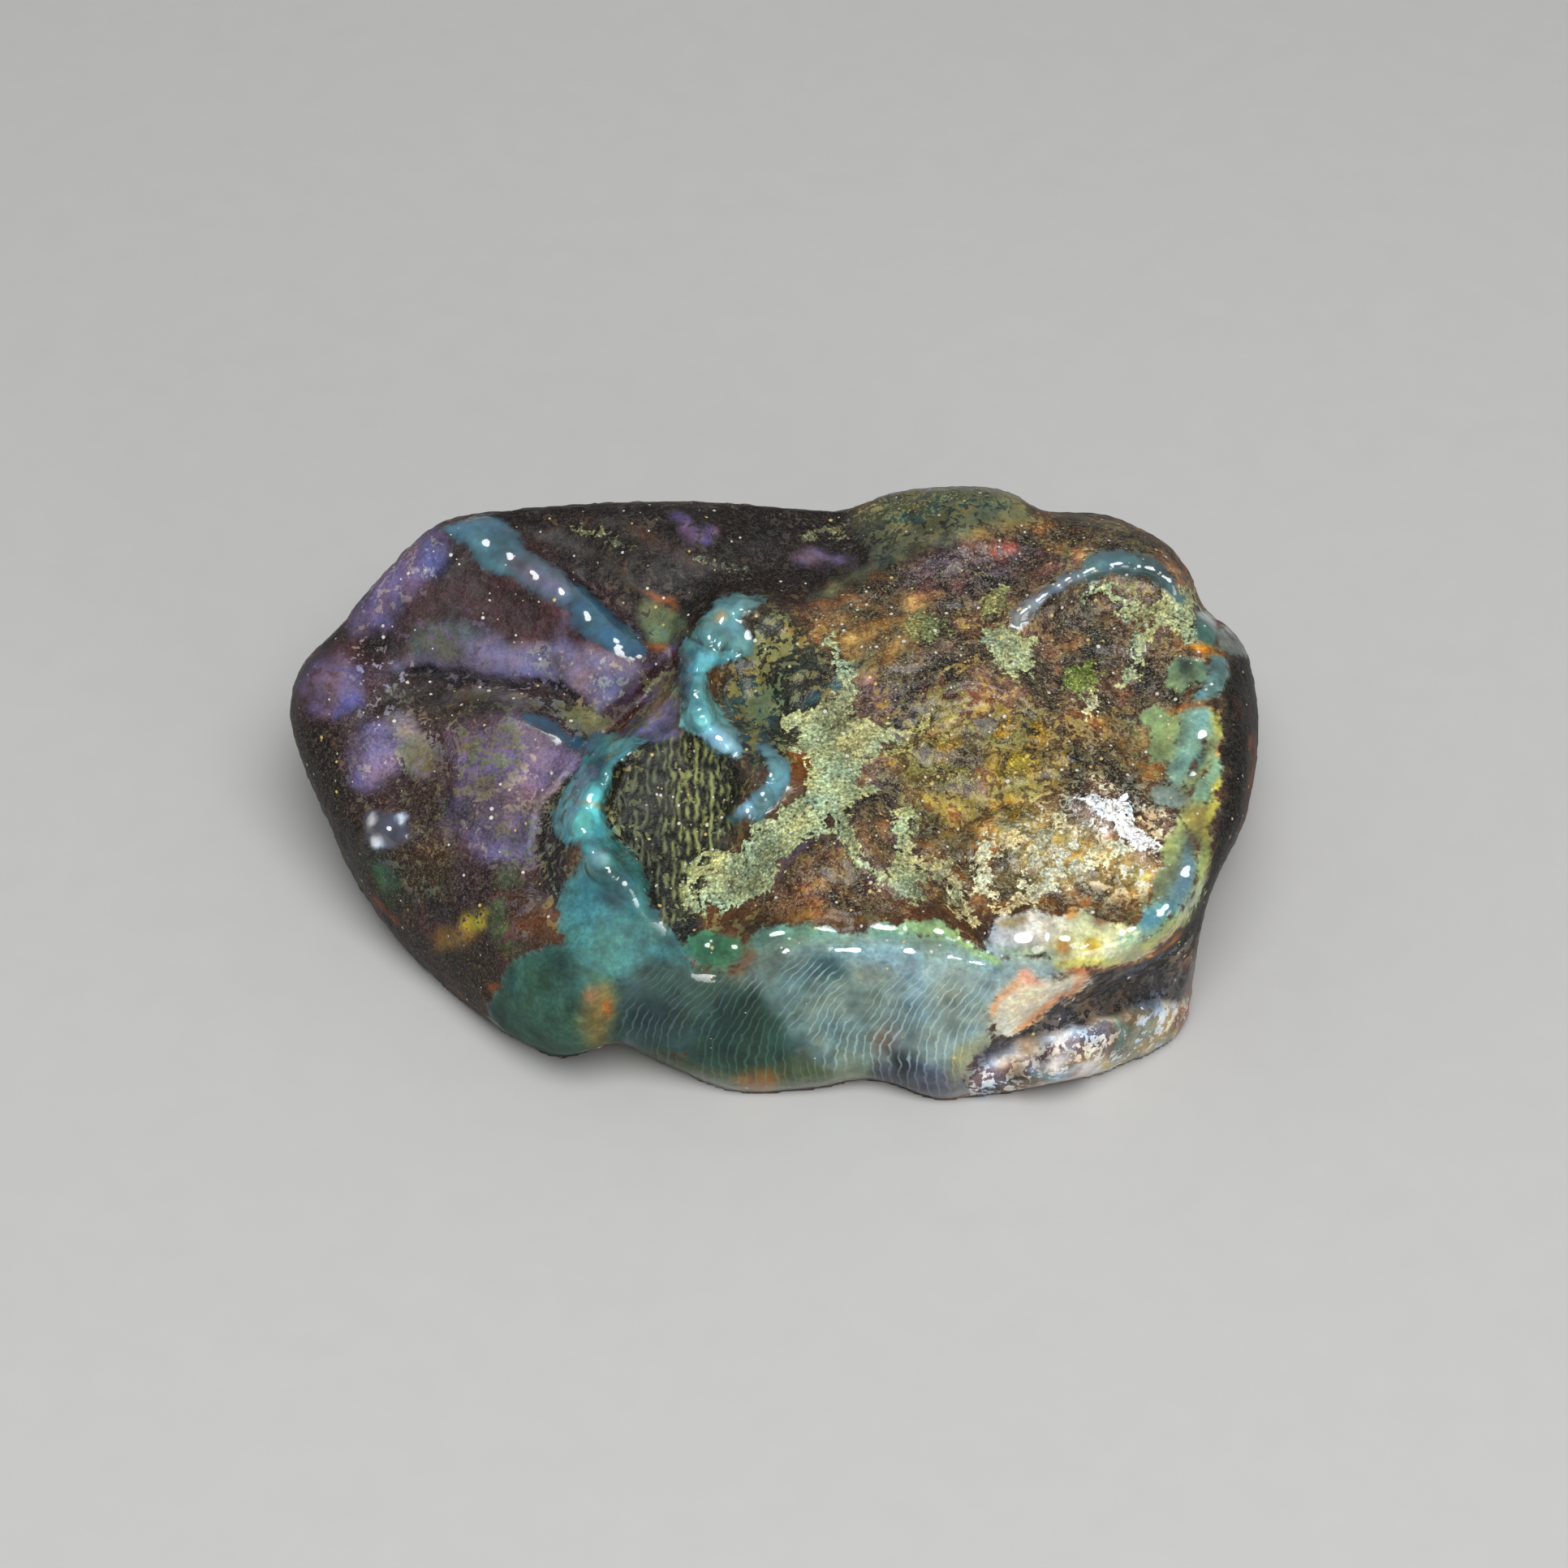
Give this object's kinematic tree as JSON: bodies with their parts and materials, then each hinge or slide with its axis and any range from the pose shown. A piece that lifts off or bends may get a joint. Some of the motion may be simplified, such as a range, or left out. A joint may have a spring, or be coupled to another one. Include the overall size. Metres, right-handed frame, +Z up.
{
  "type": "rough amber nugget",
  "caption": "Rough Dominican amber nugget with a folded, glossy crust and a cut band along the front, lying on its flat underside.",
  "frame": {"origin": "on the ground under the middle of the nugget's box, with the nugget lying on its flat underside", "axes": "+X along the nugget's length, to the right seen from the pale cut front; +Y away from that front; +Z up"},
  "size_m": [0.0794, 0.0552, 0.0271],
  "materials": {
    "amber": "wet-looking polished resin; violet and lilac on the left, turquoise on the ridges and the rim, olive-gold and brown crust on the right, pale blue-green along the cut front"
  },
  "bodies": {
    "root": {"amber_nugget": "amber"}
  },
  "joints": []
}
